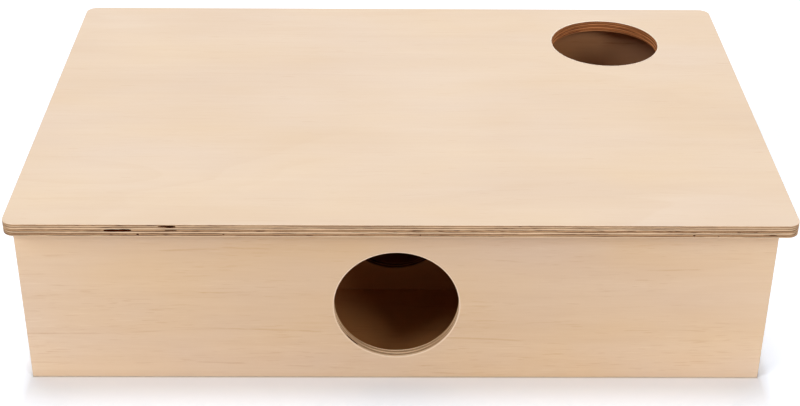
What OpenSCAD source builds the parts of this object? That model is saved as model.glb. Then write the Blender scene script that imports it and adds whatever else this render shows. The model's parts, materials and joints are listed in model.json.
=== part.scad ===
// Hamster house: a low plywood box with a loose lid that lifts off.
// Slotted partitions stand inside it and make a maze of seven chambers.
// Millimetres. +Z is up, the entrance faces -Y, and +X is to the right of someone who faces it.
// The origin is on the ground, under the middle of the lid.

/* [House] */
// Width over the walls, left to right
house_width = 387; // [360:1:420]
// Depth over the walls, front to back
house_depth = 254; // [245:1:280]
// Height of the walls, from the ground to the underside of the lid
house_height = 92; // [86:1:110]
// Thickness of the four walls
wall = 6; // [5:0.5:8]
// Thickness of the floor panel
floor_thickness = 3; // [2:0.5:4]
// Diameter of the entrance in the front wall
entrance_diameter = 65; // [50:1:70]

/* [Lid] */
// Thickness of the lid
lid_thickness = 7; // [5:0.5:10]
// How far the lid stands out past the walls on every side
lid_overhang = 6.5; // [4:0.5:15]
// Radius of the lid's corners, seen from above
lid_corner_radius = 6.5; // [3:0.5:20]
// Diameter of the hole in the lid
lid_hole_diameter = 65; // [50:1:70]
// Play of the lid on the house, on each side
lid_play = 2.5; // [1:0.1:4]
// Where the loose lid lies in its play, from -1 at the left to 1 at the right
lid_lean = 0.9; // [-0.9:0.1:0.9]
// Side of the square locating blocks under the lid
block_side = 18; // [12:1:30]
// Height of the locating blocks
block_height = 8; // [5:0.5:14]

/* [Partitions] */
// Thickness of the partitions
partition = 6; // [4:0.5:8]
// Diameter of the round doorways in the partitions
doorway_diameter = 60; // [45:1:64]
// Depth of the row of chambers behind the front wall
front_row = 73; // [70:0.5:80]
// Depth of the chamber at the back right, under the hole in the lid
back_row = 76.5; // [70:0.5:82]
// Space left between the partitions and the lid
partition_headroom = 0.3; // [0.2:0.1:1]

/* [Joints] */
// Depth of the rebates that take the side walls and the floor
rebate_depth = 3; // [2:0.5:3.5]
// Depth of the grooves that hold the ends of the partitions
groove_depth = 2; // [1:0.5:2.5]
// Clearance on each face of a groove, a slot or a rebate
fit_gap = 0.1; // [0.05:0.05:0.2]
// Width of the eased edges
edge_ease = 0.6; // [0.3:0.1:1]

/* [Hidden] */
$fn = 96;
eps = 0.5;
inner_width = house_width - 2 * wall;
inner_depth = house_depth - 2 * wall;
lid_width = house_width + 2 * lid_overhang;
lid_depth = house_depth + 2 * lid_overhang;
lid_shift = lid_play * lid_lean;

// The chambers stand in three columns of equal width
column_width = (inner_width - 2 * partition) / 3;
column_pitch = column_width + partition;
cross_x = column_pitch / 2;

// Middle planes of the two partitions that run left to right
front_partition_y = -inner_depth / 2 + front_row + partition / 2;
rear_partition_y = inner_depth / 2 - back_row - partition / 2;

// Middles of the spaces that the doorways open into, front to back
front_row_y = -inner_depth / 2 + front_row / 2;
back_row_y = (inner_depth - back_row) / 2;
nest_y = (front_partition_y + partition / 2 + inner_depth / 2) / 2;

// The partitions stand on the floor and stop short of the lid. Their slots meet at half height
partition_foot = floor_thickness + fit_gap;
partition_top = house_height - partition_headroom;
partition_height = partition_top - partition_foot;
halving_z = (partition_foot + partition_top) / 2;
doorway_z = (floor_thickness + house_height) / 2;
groove_width = partition + 2 * fit_gap;

// Side of the square bar that eases the house's upright corners
corner_cut = edge_ease * sqrt(2);

lid_color = [0.93, 0.85, 0.75];
wall_color = [0.87, 0.75, 0.61];
partition_color = [0.81, 0.66, 0.49];
floor_color = [0.76, 0.60, 0.43];
block_color = [0.84, 0.70, 0.53];

corners = [[-1, -1], [1, -1], [-1, 1], [1, 1]];
block_nodes = [
    "lid_block_front_left",
    "lid_block_front_right",
    "lid_block_back_left",
    "lid_block_back_right"
];
house_nodes = [
    "front_wall",
    "back_wall",
    "left_wall",
    "right_wall",
    "floor_panel",
    "front_partition",
    "left_partition",
    "right_partition",
    "rear_partition"
];

// Rectangle about the origin, with its four corners cut at 45 degrees
module eased_rectangle(width, height) {
    x = width / 2;
    y = height / 2;
    inner_x = x - edge_ease;
    inner_y = y - edge_ease;
    polygon([
        [-inner_x, -y], [inner_x, -y], [x, -inner_y], [x, inner_y],
        [inner_x, y], [-inner_x, y], [-x, inner_y], [-x, -inner_y]
    ]);
}

// Board about the origin, along X, with its four long edges eased
module board_x(length, depth, height) {
    rotate([90, 0, 90])
        linear_extrude(height = length, center = true)
            eased_rectangle(depth, height);
}

// Board about the origin, along Y, with its four long edges eased
module board_y(width, length, height) {
    rotate([90, 0, 0])
        linear_extrude(height = length, center = true)
            eased_rectangle(width, height);
}

// Round disc about the origin, with both rims eased
module eased_disc(radius, thickness) {
    rotate_extrude()
        polygon([
            [0, -thickness / 2],
            [radius - edge_ease, -thickness / 2],
            [radius, -thickness / 2 + edge_ease],
            [radius, thickness / 2 - edge_ease],
            [radius - edge_ease, thickness / 2],
            [0, thickness / 2]
        ]);
}

// What a round hole takes out of a board that lies flat about the origin, rims eased
module round_hole(diameter, thickness) {
    r = diameter / 2;
    reach = edge_ease + eps;
    cylinder(h = thickness + 2 * eps, r = r, center = true);
    for (side = [0, 1])
        mirror([0, 0, side])
            translate([0, 0, thickness / 2 - edge_ease])
                cylinder(h = reach, r1 = r, r2 = r + reach);
}

// The same hole through a board whose thickness lies along Y, at x and z
module hole_through_y(x, z, diameter, thickness) {
    translate([x, 0, z])
        rotate([90, 0, 0])
            round_hole(diameter, thickness);
}

// The same hole through a board whose thickness lies along X, at y and z
module hole_through_x(y, z, diameter, thickness) {
    translate([0, y, z])
        rotate([0, 90, 0])
            round_hole(diameter, thickness);
}

// The house stands to one side of the lid's middle by the play that the lid has taken up
module on_house() {
    translate([-lid_shift, 0, 0])
        children();
}

// A wall that runs left to right: rebated at its ends for the side walls and along its foot
// for the floor, grooved for the partitions that run front to back, and eased at its upright
// outer corners
module long_wall() {
    inner_y = -inner_depth / 2;
    difference() {
        translate([0, -(house_depth - wall) / 2, house_height / 2])
            board_x(house_width, wall, house_height);
        for (side = [-1, 1]) {
            translate([side * (house_width - wall + eps) / 2, inner_y, house_height / 2])
                cube([wall + eps, 2 * rebate_depth, house_height + 2 * eps], center = true);
            translate([side * cross_x, inner_y, partition_foot + house_height / 2])
                cube([groove_width, 2 * groove_depth, house_height], center = true);
            translate([side * house_width / 2, -house_depth / 2, house_height / 2])
                rotate(45)
                    cube([corner_cut, corner_cut, house_height + 2 * eps], center = true);
        }
        translate([0, inner_y, 0])
            cube([house_width + 2 * eps, 2 * rebate_depth, 2 * partition_foot], center = true);
    }
}

// A side wall, drawn on the right: its ends lie in the long walls' rebates, and each
// partition that ends on it has a groove
module side_wall(groove_places) {
    inner_x = inner_width / 2;
    length = inner_depth + 2 * (rebate_depth - fit_gap);
    difference() {
        translate([(house_width - wall) / 2, 0, house_height / 2])
            board_y(wall, length, house_height);
        for (y = groove_places)
            translate([inner_x, y, partition_foot + house_height / 2])
                cube([2 * groove_depth, groove_width, house_height], center = true);
        translate([inner_x, 0, 0])
            cube([2 * rebate_depth, length + 2 * eps, 2 * partition_foot], center = true);
    }
}

// A partition that runs front to back, slotted from below where it rides over the front
// partition, with a round doorway at each of the places given
module cross_partition(doorway_places) {
    length = inner_depth + 2 * (groove_depth - fit_gap);
    slot_top = halving_z + fit_gap / 2;
    difference() {
        translate([0, 0, halving_z])
            board_y(partition, length, partition_height);
        translate([0, front_partition_y, 0])
            cube([partition + 2 * eps, groove_width, 2 * slot_top], center = true);
        for (y = doorway_places)
            hole_through_x(y, doorway_z, doorway_diameter, partition);
    }
}

module front_wall() {
    color(wall_color)
        on_house()
            difference() {
                long_wall();
                translate([0, -(house_depth - wall) / 2, 0])
                    hole_through_y(0, house_height / 2, entrance_diameter, wall);
            }
}

module back_wall() {
    color(wall_color)
        on_house()
            mirror([0, 1, 0])
                long_wall();
}

module left_wall() {
    color(wall_color)
        on_house()
            mirror([1, 0, 0])
                side_wall([front_partition_y]);
}

module right_wall() {
    color(wall_color)
        on_house()
            side_wall([front_partition_y, rear_partition_y]);
}

// The floor lies in the rebates, flush with the feet of the walls
module floor_panel() {
    rim = 2 * (rebate_depth - fit_gap);
    color(floor_color)
        on_house()
            translate([0, 0, floor_thickness / 2])
                cube([inner_width + rim, inner_depth + rim, floor_thickness], center = true);
}

// Runs the whole width and is slotted from above for the two partitions that ride over it
module front_partition() {
    length = inner_width + 2 * (groove_depth - fit_gap);
    slot_height = house_height - halving_z + fit_gap / 2;
    color(partition_color)
        on_house()
            translate([0, front_partition_y, 0])
                difference() {
                    translate([0, 0, halving_z])
                        board_x(length, partition, partition_height);
                    for (side = [-1, 1])
                        translate([side * cross_x, 0, house_height - slot_height / 2])
                            cube([groove_width, partition + 2 * eps, slot_height], center = true);
                    for (x = [0, column_pitch])
                        hole_through_y(x, doorway_z, doorway_diameter, partition);
                }
}

module left_partition() {
    color(partition_color)
        on_house()
            translate([-cross_x, 0, 0])
                cross_partition([front_row_y, nest_y]);
}

module right_partition() {
    color(partition_color)
        on_house()
            translate([cross_x, 0, 0])
                difference() {
                    cross_partition([front_row_y, back_row_y]);
                    translate([partition / 2, rear_partition_y, partition_foot + house_height / 2])
                        cube([2 * groove_depth, groove_width, house_height], center = true);
                }
}

// Short board between the right partition and the right wall
module rear_partition() {
    length = column_width + 2 * (groove_depth - fit_gap);
    color(partition_color)
        on_house()
            translate([column_pitch, rear_partition_y, 0])
                difference() {
                    translate([0, 0, halving_z])
                        board_x(length, partition, partition_height);
                    hole_through_y(0, doorway_z, doorway_diameter, partition);
                }
}

// The hole lies over the middle of the back right chamber when the lid is centred
module lid_panel() {
    straight_x = lid_width - 2 * lid_corner_radius;
    straight_y = lid_depth - 2 * lid_corner_radius;
    color(lid_color)
        translate([0, 0, house_height + lid_thickness / 2])
            difference() {
                union() {
                    board_x(straight_x, lid_depth, lid_thickness);
                    board_y(lid_width, straight_y, lid_thickness);
                    for (c = corners)
                        translate([c[0] * straight_x / 2, c[1] * straight_y / 2, 0])
                            eased_disc(lid_corner_radius, lid_thickness);
                }
                translate([column_pitch, back_row_y, 0])
                    round_hole(lid_hole_diameter, lid_thickness);
            }
}

// A locating block, glued under one corner of the lid and clear of the walls by the play
module lid_block(corner) {
    reach = lid_play + block_side / 2;
    x = corner[0] * (inner_width / 2 - reach);
    y = corner[1] * (inner_depth / 2 - reach);
    color(block_color)
        translate([x, y, house_height - block_height / 2])
            intersection() {
                board_x(block_side, block_side, block_height);
                board_y(block_side, block_side, block_height);
            }
}

front_wall();
back_wall();
left_wall();
right_wall();
floor_panel();
front_partition();
left_partition();
right_partition();
rear_partition();
lid_panel();
lid_block(corners[0]);
lid_block(corners[1]);
lid_block(corners[2]);
lid_block(corners[3]);
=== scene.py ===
"""Wooden hamster house in birch plywood: boards, wood finishes, studio and camera.

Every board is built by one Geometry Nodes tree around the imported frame, in metres.
"""

import json
import math
import random

import bpy
from mathutils import Euler, Matrix, Vector


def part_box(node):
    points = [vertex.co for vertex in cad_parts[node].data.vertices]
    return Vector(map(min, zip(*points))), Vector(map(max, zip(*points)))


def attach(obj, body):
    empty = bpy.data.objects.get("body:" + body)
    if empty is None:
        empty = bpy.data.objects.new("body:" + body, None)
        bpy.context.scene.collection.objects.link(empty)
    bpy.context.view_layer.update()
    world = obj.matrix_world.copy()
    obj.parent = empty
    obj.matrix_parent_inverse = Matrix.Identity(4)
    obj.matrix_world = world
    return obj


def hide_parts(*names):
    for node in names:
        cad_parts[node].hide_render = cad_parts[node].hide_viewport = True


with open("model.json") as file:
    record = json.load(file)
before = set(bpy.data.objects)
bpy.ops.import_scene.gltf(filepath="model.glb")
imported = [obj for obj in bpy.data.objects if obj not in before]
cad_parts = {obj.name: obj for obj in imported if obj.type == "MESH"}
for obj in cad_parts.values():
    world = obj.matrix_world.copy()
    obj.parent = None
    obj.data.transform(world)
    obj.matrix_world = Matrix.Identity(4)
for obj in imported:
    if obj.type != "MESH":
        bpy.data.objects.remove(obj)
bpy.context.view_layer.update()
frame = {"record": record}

bl_info = {
    "name": "Wooden Hamster House",
    "version": (1, 0, 0),
    "blender": (4, 5, 0),
    "location": "3D View > Sidebar > Hamster House",
    "description": "Builds a plywood hamster house, its wood and its studio",
    "category": "Object",
}

HOUSE = "house"
LID = "lid"

# How a board lies: its grain along X, its outer face up, turned to face the way it stands
FLAT = (0.0, 0.0, 0.0)
FACES_FRONT, FACES_BACK, FACES_LEFT, FACES_RIGHT = (
    (math.radians(90), 0.0, math.radians(turn)) for turn in (0, 180, -90, 90)
)

# What a layout point takes out of a board
JOINT = 0
ROUND_HOLE = 1
PLY_VOID = 2


def tone(red, green, blue):
    """A display colour, 0 to 255, as the linear colour that materials hold."""
    shares = (red / 255, green / 255, blue / 255)
    return tuple(c / 12.92 if c <= 0.04045 else ((c + 0.055) / 1.055) ** 2.4 for c in shares)


def opening_middle(name):
    """Middle of an opening that the record names."""
    for opening in frame["record"]["physics"]["openings"]:
        if opening["name"] == name:
            low, high = opening["box_m"]
            return (Vector(low) + Vector(high)) / 2
    raise ValueError(f"the record has no opening named {name}")


# --- sizes and colours that a user would change ---


def length(name, description, default, low=0.0, high=1.0):
    return bpy.props.FloatProperty(
        name=name,
        description=description,
        default=default,
        min=low,
        max=high,
        unit="LENGTH",
        subtype="DISTANCE",
        precision=5,
    )


def colour(name, description, default):
    return bpy.props.FloatVectorProperty(
        name=name,
        description=description,
        default=default,
        min=0.0,
        max=1.0,
        subtype="COLOR",
    )


def power(name, description, default):
    return bpy.props.FloatProperty(name=name, description=description, default=default, min=0.0)


class HamsterHouseBoards(bpy.types.PropertyGroup):
    """Sizes of the boards that the frame's boxes don't hold."""

    entrance: length("Entrance", "Diameter of the hole in the front wall", 0.065)
    lid_hole: length("Lid hole", "Diameter of the hole in the lid", 0.065)
    doorway: length("Doorway", "Diameter of the doorways in the partitions", 0.060)
    lid_corner: length("Lid corner", "Radius of the lid's corners, seen from above", 0.0065)
    board_corner: length("Board corner", "Radius of the other boards' corners", 0.0009)
    ease: length("Eased edge", "Radius that sanding leaves on the edges", 0.0004)
    lid_ease: length("Lid's eased edge", "Radius that sanding leaves on the lid's edges", 0.0002)
    hole_ease: length("Eased rim", "Width that sanding eases off the rims of the holes", 0.0007)
    block_ease: length("Block edge", "Radius of the locating blocks' edges", 0.0007)
    fit: length("Fit", "Clearance round a board in its groove or slot", 0.0001)
    seed: bpy.props.IntProperty(
        name="Void seed", description="Seed of the small voids on the lid's other edges", default=7
    )


class HamsterHouseWoods(bpy.types.PropertyGroup):
    """Colours of the woods, as linear values."""

    lid: colour("Lid", "Sanded face of the lid", tone(238, 214, 189))
    wall: colour("Walls", "Sanded face of the walls", tone(223, 191, 158))
    # Painted shade: the back veneer, the partitions and the floor panel are darker and browner, as
    # in the shade inside the house; the back veneer is also of a lower grade
    inner: colour("Inner faces", "Back veneer of the walls and the lid", tone(178, 118, 66))
    partition: colour("Partitions", "Face of the partitions", tone(196, 134, 80))
    floor: colour("Floor", "Face of the floor panel", tone(194, 133, 78))
    block: colour("Blocks", "Face of the locating blocks", tone(222, 192, 152))
    end_grain: colour("End grain", "Plies that are cut across their grain", tone(182, 142, 105))
    side_grain: colour("Side grain", "Plies that are cut along their grain", tone(236, 204, 169))
    glue: colour("Glue", "Thin lines between the plies", tone(84, 50, 28))
    # The rims are paler than the faces from sanding, and brighter still as a painted highlight
    lid_rim_highlight: colour("Lid's rim", "Sanded rim of the hole in the lid", tone(255, 240, 218))
    wall_rim_highlight: colour("Walls' rim", "Sanded rim of the hole in the front wall", tone(244, 217, 190))
    # Painted shade: the inside of the gaps is darker than the wood, as the shade in them
    void: colour("Void", "Inside of the gaps in the plies", tone(92, 38, 18))


class HamsterHouseStudio(bpy.types.PropertyGroup):
    """Lights, floor and lens."""

    top_light: power("Top light", "Strength of the light overhead, a little behind", 1.53)
    left_light: power("Left light", "Strength of the light at the front left", 1.22)
    right_light: power("Right light", "Strength of the light at the front right", 1.12)
    sky: power("Sky", "Strength of the even light from all round", 0.10)
    floor_reach: length("Floor", "Side of the studio floor", 8.0, 1.0, 50.0)
    lens: bpy.props.FloatProperty(
        name="Lens", description="Focal length on a 36 mm sensor", default=69.7, unit="CAMERA"
    )


# --- short ways to write node trees ---


class Tree:
    """A node tree, with short ways to add a node and feed it."""

    def __init__(self, tree):
        self.tree = tree

    def add(self, kind, values=(), **settings):
        """Adds a node and feeds its sockets, named or counted, from values or other nodes."""
        node = self.tree.nodes.new(kind)
        for name, value in settings.items():
            setattr(node, name, value)
        for key, value in dict(values).items():
            self.feed(node.inputs[key], value)
        return node

    def feed(self, socket, value):
        if isinstance(value, bpy.types.Node):
            value = value.outputs[0]
        if isinstance(value, bpy.types.NodeSocket):
            self.tree.links.new(value, socket)
        else:
            socket.default_value = value

    def math(self, operation, a, b=0.0, c=0.0, clamp=False):
        values = {0: a, 1: b, 2: c}
        return self.add("ShaderNodeMath", values, operation=operation, use_clamp=clamp).outputs[0]

    def times(self, a, b):
        return self.math("MULTIPLY", a, b)

    def plus(self, a, b):
        return self.math("ADD", a, b)

    def less(self, a, b):
        return self.math("SUBTRACT", a, b)

    def between(self, value, at_zero, at_one):
        """A number that goes from at_zero to at_one as value goes from 0 to 1."""
        return self.math("MULTIPLY_ADD", value, at_one - at_zero, at_zero)

    def point(self, x=0.0, y=0.0, z=0.0):
        return self.add("ShaderNodeCombineXYZ", {0: x, 1: y, 2: z}).outputs[0]

    def axes(self, vector):
        """The three numbers of a vector."""
        return self.add("ShaderNodeSeparateXYZ", {0: vector}).outputs

    def vector(self, operation, a, b):
        return self.add("ShaderNodeVectorMath", {0: a, 1: b}, operation=operation).outputs[0]

    def ramp(self, value, low, high, to_low=0.0, to_high=1.0):
        """Value from low to high, eased in and out, as to_low to to_high."""
        values = {0: value, 1: low, 2: high, 3: to_low, 4: to_high}
        return self.add("ShaderNodeMapRange", values, interpolation_type="SMOOTHSTEP").outputs[0]

    def noise(self, place, scale, detail=2.0, roughness=0.5, distortion=0.0):
        """Noise on place stretched by the three scales, in features to the metre."""
        values = {
            "Vector": self.vector("MULTIPLY", place, scale),
            "Scale": 1.0,
            "Detail": detail,
            "Roughness": roughness,
            "Distortion": distortion,
        }
        return self.add("ShaderNodeTexNoise", values).outputs[0]

    def mix(self, factor, a, b):
        """Colour a where factor is 0 and b where it is 1."""
        return self.add("ShaderNodeMix", {0: factor, 6: a, 7: b}, data_type="RGBA").outputs[2]

    def tint(self, colour_in, factor):
        """Colour, or another vector, scaled by a factor."""
        values = {0: colour_in, "Scale": factor}
        return self.add("ShaderNodeVectorMath", values, operation="SCALE").outputs[0]

    def named(self, name, data_type):
        """An attribute of the geometry, by its name."""
        return self.add("GeometryNodeInputNamedAttribute", {"Name": name}, data_type=data_type)

    def store(self, geometry, name, value, data_type="FLOAT", domain="FACE"):
        """The geometry with a value for each face, edge or point under a name."""
        values = {"Geometry": geometry, "Name": name, "Value": value}
        kind = {"data_type": data_type, "domain": domain}
        return self.add("GeometryNodeStoreNamedAttribute", values, **kind)


def new_group(name, kind, inputs, outputs):
    """A node group with named sockets, its tree helper and its inputs by name."""
    tree = bpy.data.node_groups.new(name, kind)
    for label, socket_type, default in inputs:
        socket = tree.interface.new_socket(label, in_out="INPUT", socket_type=socket_type)
        if default is not None:
            socket.default_value = default
    for label, socket_type in outputs:
        tree.interface.new_socket(label, in_out="OUTPUT", socket_type=socket_type)
    sheet = Tree(tree)
    return sheet, sheet.add("NodeGroupInput").outputs


FLOAT = "NodeSocketFloat"
VECTOR = "NodeSocketVector"
COLOR = "NodeSocketColor"
GEOMETRY = "NodeSocketGeometry"
MATERIAL = "NodeSocketMaterial"


# --- the board tree ---

EDGE_STEPS = 3
CORNER_STEPS = 10
HOLE_SEGMENTS = 128
CUTTER_RISE = 0.001
RIM_FLATNESS = 0.4
WELD = 1e-6
SHARP_ANGLE = math.radians(40)


def half_round(sheet, ease, thickness, cutter):
    """Curve up a board's edge, with its eased corners. A cutter's curve is that of a hole's rim:
    it flares where sanding has broken the edge, and runs on past the faces."""
    last = 2 * EDGE_STEPS + (3 if cutter else 1)
    index = sheet.add("GeometryNodeInputIndex")
    from_end = sheet.math("MINIMUM", index, sheet.less(float(last), index))
    step = sheet.math("MAXIMUM", sheet.less(from_end, 1.0), 0.0) if cutter else from_end
    angle = sheet.times(step, math.pi / 2 / EDGE_STEPS)
    out = sheet.times(ease, sheet.math("SINE", angle))
    half = sheet.times(thickness, 0.5)
    rise = sheet.times(ease, sheet.less(1.0, sheet.math("COSINE", angle)))
    if cutter:
        out = sheet.less(ease, out)
        rise = sheet.times(rise, RIM_FLATNESS)
        half = sheet.plus(half, WELD)
    level = sheet.less(half, rise)
    if cutter:
        is_end = sheet.math("LESS_THAN", from_end, 0.5)
        level = sheet.plus(level, sheet.times(is_end, CUTTER_RISE))
        half = sheet.plus(half, CUTTER_RISE)
    side = sheet.math("SIGN", sheet.less(index, last / 2))
    line = sheet.add("GeometryNodeMeshLine", {"Count": last + 1})
    where = sheet.point(out, sheet.times(level, side))
    placed = sheet.add("GeometryNodeSetPosition", {"Geometry": line, "Position": where})
    return sheet.add("GeometryNodeMeshToCurve", {"Mesh": placed}), half


def swept_solid(sheet, path, rim, ease, thickness, cutter):
    """Closed solid: the edge curve swept round path, and both faces filled in from rim."""
    edge, half = half_round(sheet, ease, thickness, cutter)
    band = sheet.add("GeometryNodeCurveToMesh", {"Curve": path, "Profile Curve": edge})
    face = sheet.add("GeometryNodeFillCurve", {"Curve": rim}, mode="NGONS")
    under = sheet.add("GeometryNodeFlipFaces", {"Mesh": face})
    drop = sheet.times(half, -1.0)
    shell = sheet.add("GeometryNodeJoinGeometry")
    for piece in (
        band,
        sheet.add("GeometryNodeTransform", {"Geometry": face, "Translation": sheet.point(z=half)}),
        sheet.add("GeometryNodeTransform", {"Geometry": under, "Translation": sheet.point(z=drop)}),
    ):
        sheet.feed(shell.inputs[0], piece)
    return sheet.add("GeometryNodeMergeByDistance", {"Geometry": shell, "Distance": WELD})


def board_tree():
    """Tree that makes one plywood board. Each point of its layout takes out a joint, a round hole
    or a void, and the board carries its own place and turn for its wood to read."""
    sheet, given = new_group(
        "Plywood board",
        "GeometryNodeTree",
        [
            ("Layout", GEOMETRY, None),
            ("Length", FLOAT, 0.4),
            ("Width", FLOAT, 0.1),
            ("Thickness", FLOAT, 0.006),
            ("Corner Radius", FLOAT, 0.001),
            ("Edge Ease", FLOAT, 0.0006),
            ("Hole Diameter", FLOAT, 0.06),
            ("Hole Ease", FLOAT, 0.0006),
            ("Place", VECTOR, None),
            ("Turn", VECTOR, None),
            ("Grain Seed", FLOAT, 0.0),
            ("Wood", MATERIAL, None),
            ("Void Wood", MATERIAL, None),
        ],
        [("Board", GEOMETRY)],
    )
    ease = given["Edge Ease"]
    thickness = given["Thickness"]
    inset = sheet.times(ease, 2.0)
    outline = sheet.add(
        "GeometryNodeCurvePrimitiveQuadrilateral",
        {"Width": sheet.less(given["Length"], inset), "Height": sheet.less(given["Width"], inset)},
    )
    rounding = sheet.less(given["Corner Radius"], ease)
    path = sheet.add(
        "GeometryNodeFilletCurve",
        {"Curve": outline, "Count": CORNER_STEPS, "Radius": rounding},
        mode="POLY",
    )
    blank = swept_solid(sheet, path, path, ease, thickness, False)

    radius = sheet.times(given["Hole Diameter"], 0.5)
    rim = given["Hole Ease"]
    circles = [
        sheet.add("GeometryNodeCurvePrimitiveCircle", {"Resolution": HOLE_SEGMENTS, "Radius": r})
        for r in (radius, sheet.plus(radius, rim))
    ]
    bore = swept_solid(sheet, circles[0], circles[1], rim, thickness, True)
    block = sheet.add("GeometryNodeMeshCube", {"Size": (1.0, 1.0, 1.0)})
    pebble = sheet.add("GeometryNodeMeshIcoSphere", {"Radius": 0.5, "Subdivisions": 2})
    hole = sheet.store(bore, "in_bore", 1.0)
    void = sheet.store(pebble, "ply_void", 1.0)

    kind = sheet.named("cut_kind", "INT")
    size = sheet.named("cut_size", "FLOAT_VECTOR")
    cut = sheet.add(
        "GeometryNodeMeshBoolean",
        {"Mesh 1": blank, "Self Intersection": True},
        operation="DIFFERENCE",
        solver="EXACT",
    )
    for number, cutter, scale in (
        (JOINT, block, size),
        (ROUND_HOLE, hole, (1.0, 1.0, 1.0)),
        (PLY_VOID, void, size),
    ):
        chosen = sheet.math("COMPARE", kind, float(number), 0.5)
        placed = sheet.add(
            "GeometryNodeInstanceOnPoints",
            {"Points": given["Layout"], "Selection": chosen, "Instance": cutter, "Scale": scale},
        )
        sheet.feed(cut.inputs["Mesh 2"], sheet.add("GeometryNodeRealizeInstances", {0: placed}))

    place = sheet.add("GeometryNodeInputPosition")
    normal = sheet.add("GeometryNodeInputNormal").outputs["True Normal"]
    bend = sheet.add("GeometryNodeInputMeshEdgeAngle").outputs["Unsigned Angle"]
    sharp = sheet.math("GREATER_THAN", bend, SHARP_ANGLE)
    marked = sheet.store(cut, "board_place", place, "FLOAT_VECTOR", "POINT")
    marked = sheet.store(marked, "board_turn", normal, "FLOAT_VECTOR")
    marked = sheet.store(marked, "grain_seed", given["Grain Seed"])
    marked = sheet.store(marked, "sharp_edge", sharp, "BOOLEAN", "EDGE")
    smooth = sheet.add("GeometryNodeSetShadeSmooth", {"Geometry": marked, "Shade Smooth": True})
    stood = sheet.add(
        "GeometryNodeTransform",
        {"Geometry": smooth, "Translation": given["Place"], "Rotation": given["Turn"]},
    )
    whole = sheet.add("GeometryNodeRealizeInstances", {0: stood})
    wood = sheet.add("GeometryNodeSetMaterial", {"Geometry": whole, "Material": given["Wood"]})
    in_void = sheet.math("GREATER_THAN", sheet.named("ply_void", "FLOAT"), 0.5)
    finished = sheet.add(
        "GeometryNodeSetMaterial",
        {"Geometry": wood, "Selection": in_void, "Material": given["Void Wood"]},
    )
    sheet.add("NodeGroupOutput", {"Board": finished})
    return sheet.tree


def named_tree(name, build):
    """A node tree that is built once and then shared."""
    return bpy.data.node_groups.get(name) or build()


# --- wood ---

# Noises of a sanded face and of a cut edge: features to the metre along, across and through the
# board, then detail, roughness and distortion where they aren't the usual ones
FACE_NOISES = {
    "contours": ((3.2, 15.0, 260.0), 1.5, 0.45, 0.35),
    "contours here": ((5.0, 9.0, 120.0), 1.0),
    "fibres": ((40.0, 700.0, 700.0), 3.0, 0.6),
    "bands": ((5.0, 150.0, 150.0),),
    "pores": ((78.0, 1050.0, 900.0), 1.0),
    "pores here": ((11.0, 60.0, 200.0),),
    "specks": ((65.0, 650.0, 600.0), 0.0),
    "patches": ((7.0, 17.0, 150.0), 2.0, 0.5, 0.4),
    "warmth": ((11.0, 24.0, 90.0),),
    "thread drift": ((3.0, 9.0, 60.0),),
    "threads here": ((30.0, 170.0, 100.0), 3.0, 0.65),
}
EDGE_NOISES = {
    "wander": ((38.0, 38.0, 60.0),),
    "streaks": ((60.0, 60.0, 2600.0), 3.0, 0.6),
    "pores": ((900.0, 900.0, 1400.0), 2.0, 0.6),
    "slow": ((22.0, 22.0, 700.0),),
    "glue here": ((55.0, 55.0, 800.0), 3.0, 0.65),
    "torn": ((130.0, 130.0, 1700.0), 2.0, 0.6),
    "torn here": ((20.0, 20.0, 450.0),),
}

# Contour lines for each step of their noise, long lines to the metre across a board, how far those
# drift sideways, and the pale pores' strength beside the dark ones
CONTOURS = 9.0
THREADS = 42.0
THREAD_DRIFT = 2.4
PALE_PORES = 0.45

# How much each kind of mark darkens a face, the fibres and bands from no flecks to all of them
FIGURE_DARK = 0.050
PORE_DARK = 0.10
THREAD_DARK = 0.13
SPECK_DARK = 0.07
FIBRE_DARK = (0.02, 0.09)
BAND_DARK = (0.05, 0.11)
PATCH_DARK = 0.10

# How dark marks and warm patches turn a face to red and away from blue
DARK_TO_RED, DARK_FROM_BLUE = 0.40, 0.50
WARM_TO_RED, WARM_FROM_BLUE = 0.08, 0.28

# How far a glue line wanders, in plies, and how near the faces it may come
WANDER = 0.30
NEAREST = 0.001

# Tones of the plies: along their streaks, across their pores, and from one ply to the next
SIDE_TONES = (0.92, 1.08)
END_TONES = (0.62, 0.98)
PLY_TONES = (0.95, 1.05)

# Roughness of a face, over its fibres, and of the plies, from side grain to end grain
FACE_ROUGHNESS = (0.52, 0.62)
EDGE_ROUGHNESS = (0.60, 0.78)


def seeded_noises(sheet, given, noises):
    """The group's place, moved along by the board's seed, and each of the noises there."""
    shift = sheet.tint((0.83, 1.37, 0.59), given["Seed"])
    place = sheet.vector("ADD", given["Place"], shift)
    return place, {name: sheet.noise(place, *settings) for name, settings in noises.items()}


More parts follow.
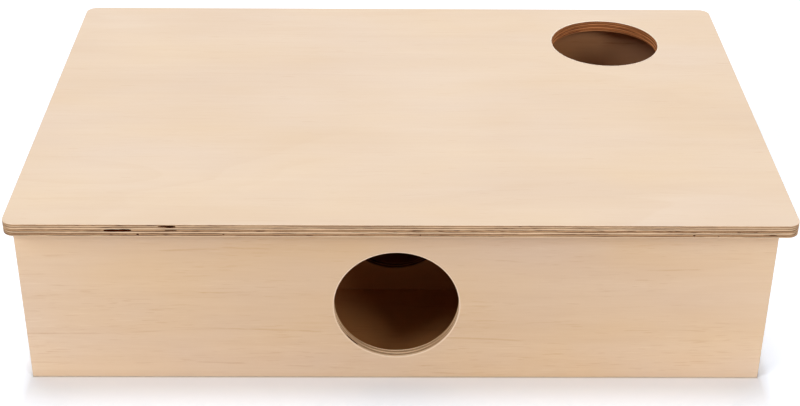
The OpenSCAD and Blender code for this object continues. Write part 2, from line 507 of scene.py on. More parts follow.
def grain_group():
    """Face of a sanded birch veneer, with its grain along the board's own X."""
    sheet, given = new_group(
        "Birch face",
        "ShaderNodeTree",
        [
            ("Place", VECTOR, None),
            ("Seed", FLOAT, 0.0),
            ("Wood", COLOR, None),
            ("Figure", FLOAT, 1.0),
            ("Fleck", FLOAT, 1.0),
            ("Patch", FLOAT, 1.0),
        ],
        [("Color", COLOR), ("Roughness", FLOAT), ("Height", FLOAT)],
    )
    place, noise = seeded_noises(sheet, given, FACE_NOISES)
    fleck = given["Fleck"]

    # Broad contour lines, as a peeled veneer shows them
    ring = sheet.math("FRACT", sheet.times(noise["contours"], CONTOURS))
    line = sheet.times(sheet.ramp(ring, 0.35, 0.93), sheet.ramp(ring, 1.0, 0.93))
    figure = sheet.times(line, sheet.ramp(noise["contours here"], 0.40, 0.66))

    # Short dark pores with pale ones among them, and fine specks
    pores_here = sheet.ramp(noise["pores here"], 0.38, 0.62)
    pore = sheet.times(sheet.ramp(noise["pores"], 0.61, 0.71), pores_here)
    pale = sheet.times(sheet.ramp(noise["pores"], 0.38, 0.30), pores_here)
    pore = sheet.times(sheet.less(pore, sheet.times(pale, PALE_PORES)), fleck)
    speck = sheet.ramp(noise["specks"], 0.78, 0.84)

    # Long thin dark lines that run with the grain, broken here and there
    drift = sheet.times(noise["thread drift"], THREAD_DRIFT)
    rows = sheet.plus(sheet.times(sheet.axes(place)[1], THREADS), drift)
    from_line = sheet.math("ABSOLUTE", sheet.less(sheet.math("FRACT", rows), 0.5))
    broken = sheet.ramp(noise["threads here"], 0.46, 0.62)
    thread = sheet.times(sheet.ramp(from_line, 0.032, 0.006), broken)
    thread = sheet.times(thread, fleck)

    # Fibres, wider bands, and slow patches of tone and warmth, which go both ways
    fibre, band, patch, warm = (
        sheet.less(noise[name], 0.5) for name in ("fibres", "bands", "patches", "warmth")
    )
    warm = sheet.times(warm, sheet.between(fleck, 0.35, 1.0))
    dark = 0.0
    for mark, amount in (
        (sheet.times(figure, given["Figure"]), FIGURE_DARK),
        (pore, PORE_DARK),
        (thread, THREAD_DARK),
        (speck, SPECK_DARK),
        (fibre, sheet.between(fleck, *FIBRE_DARK)),
        (band, sheet.between(fleck, *BAND_DARK)),
        (sheet.times(patch, given["Patch"]), PATCH_DARK),
    ):
        dark = sheet.plus(dark, sheet.times(mark, amount))
    level = sheet.less(1.0, dark)
    redder = sheet.plus(sheet.times(warm, WARM_TO_RED), sheet.times(dark, DARK_TO_RED))
    less_blue = sheet.plus(sheet.times(warm, WARM_FROM_BLUE), sheet.times(dark, DARK_FROM_BLUE))
    tone_here = sheet.point(sheet.plus(level, redder), level, sheet.less(level, less_blue))
    height = sheet.less(noise["fibres"], sheet.times(pore, 0.8))
    values = {
        "Color": sheet.vector("MULTIPLY", given["Wood"], tone_here),
        "Roughness": sheet.ramp(noise["fibres"], 0.3, 0.7, *FACE_ROUGHNESS),
        "Height": sheet.less(height, sheet.times(thread, 0.4)),
    }
    sheet.add("NodeGroupOutput", values)
    return sheet.tree


def edge_group():
    """Cut edge of plywood. Its plies lie across each other, so one shows end grain and the next
    side grain, and they change over round a bore."""
    sheet, given = new_group(
        "Ply edge",
        "ShaderNodeTree",
        [
            ("Place", VECTOR, None),
            ("Turn", VECTOR, None),
            ("Seed", FLOAT, 0.0),
            ("Depth", FLOAT, 0.5),
            ("Plies", FLOAT, 5.0),
            ("Glue Lines", FLOAT, 1.0),
            ("Side Grain", COLOR, None),
            ("End Grain", COLOR, None),
            ("Glue", COLOR, None),
        ],
        [("Color", COLOR), ("Roughness", FLOAT), ("Height", FLOAT), ("Mask", FLOAT)],
    )
    _, noise = seeded_noises(sheet, given, EDGE_NOISES)
    plies = given["Plies"]
    across_x, across_y, level = (
        sheet.math("ABSOLUTE", axis) for axis in sheet.axes(given["Turn"])
    )

    # Each glue line wanders a little
    wander = sheet.times(sheet.less(noise["wander"], 0.5), WANDER)
    stack = sheet.plus(sheet.times(given["Depth"], plies), wander)
    stack = sheet.math("MAXIMUM", stack, NEAREST)
    stack = sheet.math("MINIMUM", stack, sheet.less(plies, NEAREST))
    number = sheet.math("FLOOR", stack)
    within = sheet.math("FRACT", stack)
    crossed = sheet.math("MODULO", number, 2.0)
    end = sheet.plus(
        sheet.times(across_y, crossed), sheet.times(across_x, sheet.less(1.0, crossed))
    )
    end = sheet.ramp(end, 0.15, 0.95)

    ply_tone = sheet.add(
        "ShaderNodeTexWhiteNoise",
        {"W": sheet.plus(number, sheet.times(given["Seed"], 7.31))},
        noise_dimensions="1D",
    ).outputs["Value"]
    rough_pores = sheet.plus(noise["pores"], noise["slow"])
    side = sheet.tint(given["Side Grain"], sheet.between(noise["streaks"], *SIDE_TONES))
    across = sheet.tint(given["End Grain"], sheet.between(rough_pores, *END_TONES))
    ply = sheet.tint(sheet.mix(end, side, across), sheet.between(ply_tone, *PLY_TONES))

    # Glue lines that show in dashes, and torn fibres that draw dark streaks in the end grain
    from_line = sheet.math("MINIMUM", within, sheet.less(1.0, within))
    from_face = sheet.math("MINIMUM", stack, sheet.less(plies, stack))
    line = sheet.times(sheet.ramp(from_line, 0.28, 0.06), sheet.ramp(from_face, 0.3, 0.6))
    glue_here = sheet.ramp(noise["glue here"], 0.40, 0.58)
    line = sheet.times(line, sheet.between(glue_here, 0.18, 0.98))
    torn = sheet.times(
        sheet.ramp(noise["torn"], 0.52, 0.64), sheet.ramp(noise["torn here"], 0.38, 0.58)
    )
    torn = sheet.times(torn, sheet.between(end, 0.06, 0.90))
    line = sheet.times(sheet.math("MAXIMUM", line, torn), given["Glue Lines"])

    height = sheet.less(sheet.times(noise["pores"], sheet.times(end, 0.8)), sheet.times(line, 1.2))
    values = {
        "Color": sheet.mix(line, ply, given["Glue"]),
        "Roughness": sheet.between(end, *EDGE_ROUGHNESS),
        "Height": sheet.less(height, sheet.times(end, 0.5)),
        "Mask": sheet.ramp(level, 0.98, 0.80),
    }
    sheet.add("NodeGroupOutput", values)
    return sheet.tree


def wear_and_highlight_group():
    """Rounded edges, paler and smoother from sanding and handling, and most so round the holes,
    where the rim colour also carries a painted highlight.
    """
    sheet, given = new_group(
        "Sanded edge",
        "ShaderNodeTree",
        [("Place", VECTOR, None), ("Turn", VECTOR, None), ("In Bore", FLOAT, 0.0)],
        [("Mask", FLOAT)],
    )
    level = sheet.axes(given["Turn"])[2]
    not_flat = sheet.math("MAXIMUM", sheet.ramp(level, 0.999, 0.97), given["In Bore"])
    rounded = sheet.times(sheet.ramp(level, 0.05, 0.30), not_flat)
    uneven = sheet.ramp(sheet.noise(given["Place"], (45.0, 45.0, 45.0), 3.0), 0.3, 0.7, 0.65, 1.0)
    amount = sheet.between(given["In Bore"], 0.15, 1.0)
    sheet.add("NodeGroupOutput", {"Mask": sheet.times(sheet.times(rounded, uneven), amount)})
    return sheet.tree


def own(sheet, name):
    """The board's own coordinates, turn, seed or bore mark."""
    node = sheet.add("ShaderNodeAttribute", attribute_name=name)
    return node.outputs["Vector" if name.startswith("board") else "Fac"]


# Painted light on the walls, standing in for the light that falls brighter on their ends and foot:
# half the length of the walls, over which their ends grow paler, the strip at their foot that
# does too, measured up from a board's middle, the foot's share of that, and how much of the lid's
# tone both take
PAINTED_LIGHT_END_REACH = 0.19
PAINTED_LIGHT_FOOT_REACH = (-0.012, -0.046)
PAINTED_LIGHT_FOOT_SHARE = 0.6
PAINTED_LIGHT_LID_TONE_SHARE = 2.5


def new_material(name, specular):
    """A material, the helper of its tree and the sockets of its shader."""
    material = bpy.data.materials.new(name)
    material.use_nodes = True
    surface = material.node_tree.nodes["Principled BSDF"].inputs
    surface["Specular IOR Level"].default_value = specular
    return material, Tree(material.node_tree), surface


def plywood(
    name,
    thickness,
    plies,
    front,
    back=None,
    figure=1.0,
    fleck=1.0,
    patch=1.0,
    painted_end_and_foot_light=0.0,
    rim=None,
    bore=(1.0, 1.0, 1.0),
    glue_lines=1.0,
    stack=(),
):
    """Plywood material, whose back is like its front unless it is given; the back colours given are
    darker as painted shade of the inside. figure, fleck and patch are the strengths of the marks on
    its faces, and painted_end_and_foot_light that of the painted light that makes the ends and foot
    paler. rim colours the sanded rims, with a painted highlight where it is paler than the face,
    bore tints the sides of the holes with painted light or shade, and glue_lines tells how strongly
    the lines between the plies show. stack lists where each ply really ends, from the bottom face
    to the top one, as shares of the thickness, where the plies aren't all alike."""
    woods = bpy.context.scene.hamster_woods
    material, sheet, surface = new_material(name, 0.25)
    place, turn, seed, in_bore = (
        own(sheet, mark) for mark in ("board_place", "board_turn", "grain_seed", "in_bore")
    )
    along, up, height = sheet.axes(place)

    # The back veneer is of a lower grade, with more flecks, and darker, partly as painted shade of
    # the inside
    to_back = sheet.ramp(sheet.axes(turn)[2], 0.2, -0.2)
    # Painted light: the walls' ends and foot grow paler and nearer the lid's tone, as where more
    # light falls on them
    to_end = sheet.math("DIVIDE", along, PAINTED_LIGHT_END_REACH)
    painted_foot_light = sheet.ramp(up, *PAINTED_LIGHT_FOOT_REACH, 0.0, PAINTED_LIGHT_FOOT_SHARE)
    paler = sheet.times(sheet.plus(sheet.times(to_end, to_end), painted_foot_light), painted_end_and_foot_light)
    veneer = sheet.mix(to_back, (*front, 1.0), (*(back or front), 1.0))
    veneer = sheet.mix(sheet.times(paler, PAINTED_LIGHT_LID_TONE_SHARE), veneer, (*woods.lid, 1.0))
    values = {
        "Place": place,
        "Seed": seed,
        "Wood": sheet.tint(veneer, sheet.plus(1.0, paler)),
        "Figure": figure,
        "Fleck": sheet.times(fleck, sheet.between(to_back, 1.0, 2.2)),
        "Patch": patch,
    }
    face = sheet.add("ShaderNodeGroup", values, node_tree=named_tree("Birch face", grain_group))

    depth = sheet.plus(sheet.math("DIVIDE", height, thickness), 0.5)
    if stack:
        curve = sheet.add("ShaderNodeFloatCurve", {"Value": depth})
        points = curve.mapping.curves[0].points
        for number, end in enumerate(stack, 1):
            point = points.new(end, number / (len(stack) + 1))
            point.handle_type = "VECTOR"
        curve.mapping.update()
        depth = curve.outputs[0]

    values = {
        "Place": place,
        "Turn": turn,
        "Seed": seed,
        "Depth": depth,
        "Plies": float(plies),
        "Glue Lines": glue_lines,
        "Side Grain": (*woods.side_grain, 1.0),
        "End Grain": (*woods.end_grain, 1.0),
        "Glue": (*woods.glue, 1.0),
    }
    edge = sheet.add("ShaderNodeGroup", values, node_tree=named_tree("Ply edge", edge_group))
    values = {"Place": place, "Turn": turn, "In Bore": in_bore}
    wear_and_highlight = sheet.add("ShaderNodeGroup", values, node_tree=named_tree("Sanded edge", wear_and_highlight_group))

    on_edge = edge.outputs["Mask"]
    # Painted light and shade in the holes: each board's bores are tinted lighter or darker than its
    # cut edges
    bore_painted_light_and_shade = sheet.vector("MULTIPLY", edge.outputs["Color"], bore)
    cut = sheet.mix(in_bore, edge.outputs["Color"], bore_painted_light_and_shade)
    base = sheet.mix(on_edge, face.outputs["Color"], cut)
    # Sanded edges take the rim colour; round the holes in the lid and the front wall it is also a
    # painted highlight
    sheet.feed(surface["Base Color"], sheet.mix(wear_and_highlight, base, (*(rim or front), 1.0)))

    rough, relief = (
        sheet.plus(
            sheet.times(face.outputs[part], sheet.less(1.0, on_edge)),
            sheet.times(edge.outputs[part], on_edge),
        )
        for part in ("Roughness", "Height")
    )
    sheet.feed(surface["Roughness"], sheet.less(rough, sheet.times(wear_and_highlight, 0.06)))
    bump = sheet.add("ShaderNodeBump", {"Height": relief, "Strength": 0.35, "Distance": 0.00008})
    sheet.feed(surface["Normal"], bump)
    return material


SHADED_VOID_WOOD = "Void in the plies"


def shaded_void_material():
    """Torn fibres in the gap that a missing piece of ply leaves, darkened as painted shade of the
    gap.
    """
    material, sheet, surface = new_material(SHADED_VOID_WOOD, 0.05)
    torn = sheet.noise(own(sheet, "board_place"), (700.0, 700.0, 2500.0), 3.0, 0.65)
    # The gap's colour is dark as painted shade
    wood = bpy.context.scene.hamster_woods.void
    sheet.feed(surface["Base Color"], sheet.tint(wood, sheet.ramp(torn, 0.3, 0.7, 0.5, 1.5)))
    sheet.feed(surface["Roughness"], sheet.ramp(torn, 0.3, 0.7, 0.8, 0.95))
    bump = sheet.add("ShaderNodeBump", {"Height": torn, "Strength": 0.6, "Distance": 0.0002})
    sheet.feed(surface["Normal"], bump)
    return material


# --- boards ---


def mate_cut(fit, mate, low_z=None, high_z=None):
    """What a mating board takes out: its box, grown by the fit, or part of its height."""
    low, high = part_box(mate)
    grow = Vector((fit, fit, fit))
    low, high = low - grow, high + grow
    if low_z is not None:
        low.z = low_z
    if high_z is not None:
        high.z = high_z
    return JOINT, (low + high) / 2, high - low


def round_hole(middle):
    return ROUND_HOLE, middle, Vector((0.0, 0.0, 0.0))


def make_board(
    name, node, body, slot, turn, material, cuts, seed, corner=None, ease=None, hole=None
):
    """Builds the board that stands for a CAD node, at the node's own place and size."""
    usual = bpy.context.scene.hamster_boards
    low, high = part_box(node)
    middle = (low + high) / 2
    to_board = Euler(turn).to_matrix().transposed()
    size = [abs(x) for x in to_board @ (high - low)]

    layout = bpy.data.meshes.new(name)
    points = [to_board @ (where - middle) for _, where, _ in cuts] or [Vector((0.0, 0.0, 1.0))]
    layout.from_pydata([tuple(p) for p in points], [], [])
    kinds = layout.attributes.new("cut_kind", "INT", "POINT")
    sizes = layout.attributes.new("cut_size", "FLOAT_VECTOR", "POINT")
    for index in range(len(points)):
        kinds.data[index].value = cuts[index][0] if cuts else -1
        reach = to_board @ cuts[index][2] if cuts else Vector((0.0, 0.0, 0.0))
        sizes.data[index].vector = [abs(x) for x in reach]

    board = bpy.data.objects.new(name, layout)
    bpy.context.scene.collection.objects.link(board)
    tree = named_tree("Plywood board", board_tree)
    maker = board.modifiers.new("Plywood board", "NODES")
    maker.node_group = tree
    sockets = {s.name: s.identifier for s in tree.interface.items_tree if s.in_out == "INPUT"}
    for label, value in (
        ("Length", size[0]),
        ("Width", size[1]),
        ("Thickness", size[2]),
        ("Corner Radius", corner or usual.board_corner),
        ("Edge Ease", ease or usual.ease),
        ("Hole Diameter", hole or usual.doorway),
        ("Hole Ease", usual.hole_ease),
        ("Place", middle),
        ("Turn", turn),
        ("Grain Seed", float(seed)),
        ("Wood", material),
        ("Void Wood", bpy.data.materials.get(SHADED_VOID_WOOD) or shaded_void_material()),
    ):
        maker[sockets[label]] = value
    flat_faces = board.modifiers.new("Flat faces", "WEIGHTED_NORMAL")
    flat_faces.keep_sharp = True
    flat_faces.weight = 100

    evaluated = board.evaluated_get(bpy.context.evaluated_depsgraph_get())
    board.data = bpy.data.meshes.new_from_object(evaluated)
    board.data.name = name
    board.modifiers.clear()
    bpy.data.meshes.remove(layout)
    if len(board.data.polygons) < 6:
        raise RuntimeError(f"{name} came out empty")
    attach(board, body)
    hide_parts(node)


# Small voids along the lid's other edges: how many each edge has, with the side it faces, and the
# ranges of their place, as shares of the edge, of their length, height and depth
SIDE_VOIDS = ((9, (0, 1)), (6, (1, 0)), (6, (-1, 0)))
VOID_ALONG = (-0.45, 0.45)
VOID_LEVEL = (-0.35, 0.35)
VOID_LONG = (0.001, 0.007)
VOID_TALL = (0.0003, 0.0007)
VOID_INTO = (0.0008, 0.002)


def edge_voids(seed, size, count, side):
    """Small random gaps along one edge of a board that lies flat: side is (x, y) of its normal."""
    draw = random.Random(seed)
    along = size.y if side[0] else size.x
    found = []
    for _ in range(count):
        where = draw.uniform(*VOID_ALONG) * along
        level = draw.uniform(*VOID_LEVEL) * size.z
        long = draw.uniform(*VOID_LONG)
        tall = draw.uniform(*VOID_TALL)
        into = draw.uniform(*VOID_INTO)
        if side[0]:
            found.append(((side[0] * size.x / 2, where, level), (into, long, tall)))
        else:
            found.append(((where, side[1] * size.y / 2, level), (long, into, tall)))
    return found


# Gaps in the lid's front edge: their X, how far down from the top face they are, their length and
# their height, in millimetres, and how deep they go, in metres
FRONT_EDGE_VOIDS = (
    (-144.6, 3.40, 8.6, 1.60),
    (-138.6, 3.30, 8.2, 1.60),
    (-118.6, 0.95, 6.2, 0.80),
    (-115.4, 1.20, 6.0, 1.30),
    (-115.2, 3.20, 6.6, 0.60),
    (-131.8, 5.60, 1.5, 0.80),
    (-89.0, 5.50, 1.1, 0.50),
    (9.3, 5.70, 1.1, 0.55),
    (27.4, 3.00, 3.6, 0.35),
    (146.5, 5.55, 1.4, 0.65),
    (158.8, 5.95, 0.9, 0.40),
    (186.0, 5.50, 4.2, 0.45),
)
VOID_DEPTH = 0.006

# A flat gap in the outer plies of the entrance, low on its left: its angle round the hole from
# the right, anticlockwise, how far in from the outer face, and its length and height
RIM_VOID = (math.radians(224), 0.0011, 0.0090, 0.0011)

# Seeds of the boards' grain. Boards of one kind count on from theirs
LID_GRAIN = 3
WALL_GRAIN = 11
PARTITION_GRAIN = 21
FLOOR_GRAIN = 31
BLOCK_GRAIN = 41

# Radius of a block's upright corners over that of its edges, and radius of the thin floor panel's
# edges over that of the other boards
BLOCK_ROUNDING = 1.5
FLOOR_EDGE = 0.5

# The partitions that run from the front wall to the back wall
CROSS = ("left_partition", "right_partition")


def rim_void(middle, outer_y, radius):
    angle, inward, long, tall = RIM_VOID
    x, z = middle.x + radius * math.cos(angle), middle.z + radius * math.sin(angle)
    return PLY_VOID, Vector((x, outer_y + inward, z)), Vector((long, tall, long))


class HAMSTERHOUSE_OT_lid(bpy.types.Operator):
    """Make the loose lid, with its round hole and the gaps in its plies"""

    bl_idname = "hamster_house.lid"
    bl_label = "Lid"

    def execute(self, context):
        sizes = context.scene.hamster_boards
        woods = context.scene.hamster_woods
        low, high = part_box("lid_panel")
        size, middle = high - low, (low + high) / 2
        hole = opening_middle("lid_hole")
        hole.z = middle.z
        cuts = [round_hole(hole)]
        for void in FRONT_EDGE_VOIDS:
            x, down, long, tall = (number / 1000 for number in void)
            where = Vector((x, low.y, high.z - down))
            cuts.append((PLY_VOID, where, Vector((long, VOID_DEPTH, tall))))
        for number, (count, side) in enumerate(SIDE_VOIDS):
            for where, reach in edge_voids(sizes.seed + number, size, count, side):
                cuts.append((PLY_VOID, middle + Vector(where), Vector(reach)))
        material = plywood(
            "Birch plywood, lid",
            size.z,
            9,
            woods.lid,
            # back veneer, darker as painted shade of the inside
            woods.inner,
            figure=0.6,
            fleck=0.30,
            patch=1.9,
            # sanded rim, brightened further as a painted highlight
            rim=woods.lid_rim_highlight,
            # painted shade: the lid hole's bore darker and redder, like the shade inside it
            bore=(1.08, 0.63, 0.36),
            stack=(0.09, 0.30, 0.415, 0.61, 0.715, 0.80, 0.87, 0.975),
        )
        shape = sizes.lid_corner, sizes.lid_ease, sizes.lid_hole
        make_board(
            "lid_board", "lid_panel", LID, "lid_plywood", FLAT, material, cuts, LID_GRAIN, *shape
        )
        return {"FINISHED"}


class HAMSTERHOUSE_OT_walls(bpy.types.Operator):
    """Make the four walls, rebated and grooved, with the round entrance in the front one"""

    bl_idname = "hamster_house.walls"
    bl_label = "Walls"

    def execute(self, context):
        sizes = context.scene.hamster_boards
        woods = context.scene.hamster_woods
        fit = sizes.fit
        low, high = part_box("front_wall")
        over = high.z + CUTTER_RISE
        material = plywood(
            "Birch plywood, walls",
            high.y - low.y,
            5,
            woods.wall,
            # back veneer, darker as painted shade of the inside
            woods.inner,
            figure=0.30,
            patch=0.7,
            # painted light that makes the walls' ends and foot paler
            painted_end_and_foot_light=0.10,
            # sanded rim, brightened further as a painted highlight
            rim=woods.wall_rim_highlight,
            # painted light: the entrance's bore lighter than its cut edge
            bore=(1.27, 1.30, 1.28),
            glue_lines=0.5,
        )
        sides = ("left_wall", "right_wall")
        across = ("front_partition", "rear_partition")
        for number, (node, turn, ends, grooves) in enumerate(
            (
                ("front_wall", FACES_FRONT, sides, CROSS),
                ("back_wall", FACES_BACK, sides, CROSS),
                ("left_wall", FACES_LEFT, (), across[:1]),
                ("right_wall", FACES_RIGHT, (), across),
            )
        ):
            cuts = [mate_cut(fit, "floor_panel", low_z=-CUTTER_RISE)]
            cuts += [mate_cut(fit, end, low_z=-CUTTER_RISE, high_z=over) for end in ends]
            cuts += [mate_cut(fit, groove, high_z=over) for groove in grooves]
            if node == "front_wall":
                middle = opening_middle("entrance")
                middle.y = (low.y + high.y) / 2
                cuts.append(round_hole(middle))
                cuts.append(rim_void(middle, low.y, sizes.entrance / 2))
            name = node + "_board"
            seed = WALL_GRAIN + number
            make_board(
                name, node, HOUSE, "wall_plywood", turn, material, cuts, seed, hole=sizes.entrance
            )
        return {"FINISHED"}


class HAMSTERHOUSE_OT_partitions(bpy.types.Operator):
    """Make the four partitions, slotted over each other, with their round doorways"""

    bl_idname = "hamster_house.partitions"
    bl_label = "Partitions"

    def execute(self, context):
        woods = context.scene.hamster_woods
        fit = context.scene.hamster_boards.fit
        low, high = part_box("front_partition")
        over, under = high.z + CUTTER_RISE, low.z - CUTTER_RISE
        half_way = (low.z + high.z) / 2
        material = plywood(
            "Birch plywood, partitions",
            high.y - low.y,
            5,
            # partitions darker and browner as painted shade of the inside
            woods.partition,
            figure=0.9,
            # painted shade: the doorways' bores darker, like the dark inside
            bore=(0.55, 0.36, 0.22),
        )
        upper = [mate_cut(fit, board, half_way - fit / 2, over) for board in CROSS]
        lower = [mate_cut(fit, "front_partition", under, half_way + fit / 2)]
        both = lower + [mate_cut(fit, "rear_partition", high_z=over)]
        for number, (side, turn, cuts, doorways) in enumerate(
            (
                ("front", FACES_FRONT, upper, ("hall_to_middle", "front_right_to_right")),
                ("rear", FACES_FRONT, [], ("right_to_back_right",)),
                ("left", FACES_LEFT, lower, ("hall_to_front_left", "middle_to_nest")),
                ("right", FACES_RIGHT, both, ("hall_to_front_right", "middle_to_back_right")),
            )
        ):
            holes = [round_hole(opening_middle("doorway_" + doorway)) for doorway in doorways]
            node = side + "_partition"
            name = node + "_board"
            seed = PARTITION_GRAIN + number
            make_board(
                name, node, HOUSE, "partition_plywood", turn, material, cuts + holes, seed
            )
        return {"FINISHED"}


class HAMSTERHOUSE_OT_floor(bpy.types.Operator):
    """Make the thin floor panel in its rebates"""

    bl_idname = "hamster_house.floor"
    bl_label = "Floor panel"

    def execute(self, context):
        woods = context.scene.hamster_woods
        node = "floor_panel"
        low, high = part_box(node)
        # The floor panel's colour is darker and browner as painted shade of the inside
        material = plywood("Birch plywood, floor", high.z - low.z, 3, woods.floor, patch=1.2)
        ease = context.scene.hamster_boards.ease * FLOOR_EDGE
        make_board(
            "floor_board", node, HOUSE, "floor_plywood", FLAT, material, [], FLOOR_GRAIN, ease=ease
        )
        return {"FINISHED"}


class HAMSTERHOUSE_OT_lid_blocks(bpy.types.Operator):
    """Make the four locating blocks that are glued under the lid's corners"""

    bl_idname = "hamster_house.lid_blocks"
    bl_label = "Lid blocks"

    def execute(self, context):
        sizes = context.scene.hamster_boards
        woods = context.scene.hamster_woods
        low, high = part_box("lid_block_front_left")
        thickness = high.z - low.z
        material = plywood(
            "Solid birch, blocks", thickness, 1, woods.block, figure=0.5, fleck=1.2
        )
        shape = sizes.block_ease * BLOCK_ROUNDING, sizes.block_ease
        for number, corner in enumerate(("front_left", "front_right", "back_left", "back_right")):
            name, node = "block_" + corner, "lid_block_" + corner
            seed = BLOCK_GRAIN + number
            make_board(name, node, LID, "block_wood", FLAT, material, [], seed, *shape)
        return {"FINISHED"}


# --- studio ---

# Where the camera stands, in metres, how it is turned, in radians, and how far its picture is
# shifted, as a share of its width
CAMERA_PLACE = (-0.00829, -0.79030, 0.50330)
CAMERA_YAW = 0.0107
CAMERA_PITCH = 0.5373
CAMERA_ROLL = -0.0082
LENS_SHIFT = 0.00075

# Each light's azimuth, elevation and spread, in degrees. Azimuth 0 stands in front of the house
# and 90 at its right
LIGHTS = (
    ("top_light", 180, 79, 26),
    ("left_light", -60, 40, 26),
    ("right_light", 46, 27, 24),
)

# How the floor's glow takes its shadow away with the distance from the foot of the house: first a
# little, then to white, and sooner beside the house than in front of it
GLOW_TONE = (0.65, 0.82, 1.0, 1.0)
FIRST_FADE = (0.003, 0.030, 0.0, 0.17)
FAR_FADE = (0.030, 0.120, 0.0, 0.22)
SIDE_FADE = 14.0

# A painted contact shadow, the thin dark line right at the foot, then the floor beyond it, and the
# floor as it lights the house
PAINTED_CONTACT_SHADOW = (0.0001, 0.0014)
PAINTED_CONTACT_SHADOW_TONE = (0.62, 0.55, 0.47, 1.0)
SEEN_TONE = (0.955, 0.965, 1.0, 1.0)
BOUNCE_TONE = (0.97, 0.97, 0.97, 1.0)


def seen_directly(sheet):
    """1 for what the camera sees, straight or in a mirror, and 0 for light between surfaces."""
    path = sheet.add("ShaderNodeLightPath").outputs
    seen = sheet.plus(path["Is Camera Ray"], path["Is Glossy Ray"])
    return sheet.math("ADD", seen, path["Is Transmission Ray"], clamp=True)


def studio_floor(reach):
    """Pale floor that keeps the shadow at the foot of the house, with a painted contact shadow
    right at the foot, and is white farther out.
    """
    mesh = bpy.data.meshes.new("studio_floor")
    half = reach / 2
    corners = [(-half, -half, 0.0), (half, -half, 0.0), (half, half, 0.0), (-half, half, 0.0)]
    mesh.from_pydata(corners, [], [(0, 1, 2, 3)])
    floor = bpy.data.objects.new("studio_floor", mesh)
    bpy.context.scene.collection.objects.link(floor)
    material, sheet, surface = new_material("Studio floor", 0.0)
    seen = seen_directly(sheet)
    surface["Roughness"].default_value = 0.9

    low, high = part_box("front_wall")
    place = sheet.add("ShaderNodeTexCoord").outputs["Object"]
    axes = sheet.axes(place)
    from_middle = sheet.less(axes[0], (low.x + high.x) / 2)
    beside, before = (
        sheet.math("MAXIMUM", sheet.less(sheet.math("ABSOLUTE", axis), edge), 0.0)
        for axis, edge in ((from_middle, (high.x - low.x) / 2), (axes[1], -low.y))
    )
    away = sheet.add(
        "ShaderNodeVectorMath",
        {0: sheet.point(sheet.times(beside, SIDE_FADE), before)},
        operation="LENGTH",
    ).outputs["Value"]
    # painted contact shadow: the floor is darkened in a thin line at the foot of the house
    shown_with_painted_shadow = sheet.mix(sheet.ramp(away, *PAINTED_CONTACT_SHADOW), PAINTED_CONTACT_SHADOW_TONE, SEEN_TONE)
    sheet.feed(surface["Base Color"], sheet.mix(seen, BOUNCE_TONE, shown_with_painted_shadow))
    glow = sheet.plus(sheet.ramp(away, *FIRST_FADE), sheet.ramp(away, *FAR_FADE))
    surface["Emission Color"].default_value = GLOW_TONE
    sheet.feed(surface["Emission Strength"], sheet.times(seen, glow))
    mesh.materials.append(material)


def soft_sun(name, azimuth, elevation, spread, strength):
    """A wide soft light far off."""
    light = bpy.data.lights.new(name, "SUN")
    light.energy = strength
    light.angle = math.radians(spread)
    lamp = bpy.data.objects.new(name, light)
    a, e = math.radians(azimuth), math.radians(elevation)
    towards = Vector((math.sin(a) * math.cos(e), -math.cos(a) * math.cos(e), math.sin(e)))
    lamp.rotation_mode = "QUATERNION"
    lamp.rotation_quaternion = towards.to_track_quat("Z", "Y")
    bpy.context.scene.collection.objects.link(lamp)


def studio_world(strength):
    """Even pale light, which the camera sees as plain white."""
    world = bpy.data.worlds.new("Studio")
    world.use_nodes = True
    bpy.context.scene.world = world
    sheet = Tree(world.node_tree)
    background = world.node_tree.nodes["Background"]
    background.inputs["Color"].default_value = (1.0, 1.0, 1.0, 1.0)
    level = sheet.between(seen_directly(sheet), strength, 1.0)
    sheet.feed(background.inputs["Strength"], level)


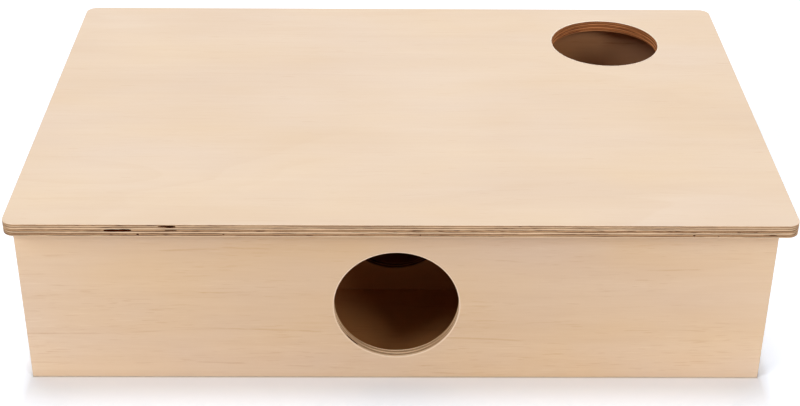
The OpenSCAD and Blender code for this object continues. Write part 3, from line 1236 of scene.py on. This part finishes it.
class HAMSTERHOUSE_OT_studio(bpy.types.Operator):
    """Make the pale floor, the soft lights and the camera"""

    bl_idname = "hamster_house.studio"
    bl_label = "Studio"

    def execute(self, context):
        studio = context.scene.hamster_studio
        studio_floor(studio.floor_reach)
        studio_world(studio.sky)
        for name, azimuth, elevation, spread in LIGHTS:
            soft_sun(name, azimuth, elevation, spread, getattr(studio, name))

        data = bpy.data.cameras.new("camera")
        data.lens = studio.lens
        data.sensor_width = 36.0
        data.shift_x = LENS_SHIFT
        data.clip_start = 0.01
        data.clip_end = 50.0
        camera = bpy.data.objects.new("camera", data)
        context.scene.collection.objects.link(camera)
        yaw, pitch, roll = CAMERA_YAW, CAMERA_PITCH, CAMERA_ROLL
        ahead = Vector(
            (math.sin(yaw) * math.cos(pitch), math.cos(yaw) * math.cos(pitch), -math.sin(pitch))
        )
        right = Vector((math.cos(yaw), -math.sin(yaw), 0.0))
        down = ahead.cross(right)
        turned_right = right * math.cos(roll) + down * math.sin(roll)
        turned_down = down * math.cos(roll) - right * math.sin(roll)
        turn = Matrix((turned_right, -turned_down, -ahead)).transposed()
        camera.matrix_world = Matrix.Translation(CAMERA_PLACE) @ turn.to_4x4()
        context.scene.camera = camera
        context.scene.view_settings.view_transform = "Standard"
        return {"FINISHED"}


OPERATORS = (
    HAMSTERHOUSE_OT_studio,
    HAMSTERHOUSE_OT_lid,
    HAMSTERHOUSE_OT_walls,
    HAMSTERHOUSE_OT_partitions,
    HAMSTERHOUSE_OT_floor,
    HAMSTERHOUSE_OT_lid_blocks,
)


class HAMSTERHOUSE_PT_panel(bpy.types.Panel):
    """Sidebar panel with one button for each part of the house"""

    bl_idname = "HAMSTERHOUSE_PT_panel"
    bl_label = "Hamster House"
    bl_space_type = "VIEW_3D"
    bl_region_type = "UI"
    bl_category = "Hamster House"

    def draw(self, context):
        for group in ("hamster_boards", "hamster_woods", "hamster_studio"):
            box = self.layout.box()
            settings = getattr(context.scene, group)
            for name in settings.__annotations__:
                box.prop(settings, name)
        for operator in OPERATORS:
            self.layout.operator(operator.bl_idname)


GROUPS = (
    ("hamster_boards", HamsterHouseBoards),
    ("hamster_woods", HamsterHouseWoods),
    ("hamster_studio", HamsterHouseStudio),
)


def register():
    for name, group in GROUPS:
        bpy.utils.register_class(group)
        setattr(bpy.types.Scene, name, bpy.props.PointerProperty(type=group))
    for operator in OPERATORS:
        bpy.utils.register_class(operator)
    bpy.utils.register_class(HAMSTERHOUSE_PT_panel)


def unregister():
    bpy.utils.unregister_class(HAMSTERHOUSE_PT_panel)
    for operator in reversed(OPERATORS):
        bpy.utils.unregister_class(operator)
    for name, group in reversed(GROUPS):
        delattr(bpy.types.Scene, name)
        bpy.utils.unregister_class(group)


def main():
    register()
    for operator in OPERATORS:
        family, name = operator.bl_idname.split(".")
        getattr(getattr(bpy.ops, family), name)()


if __name__ == "__main__":
    main()
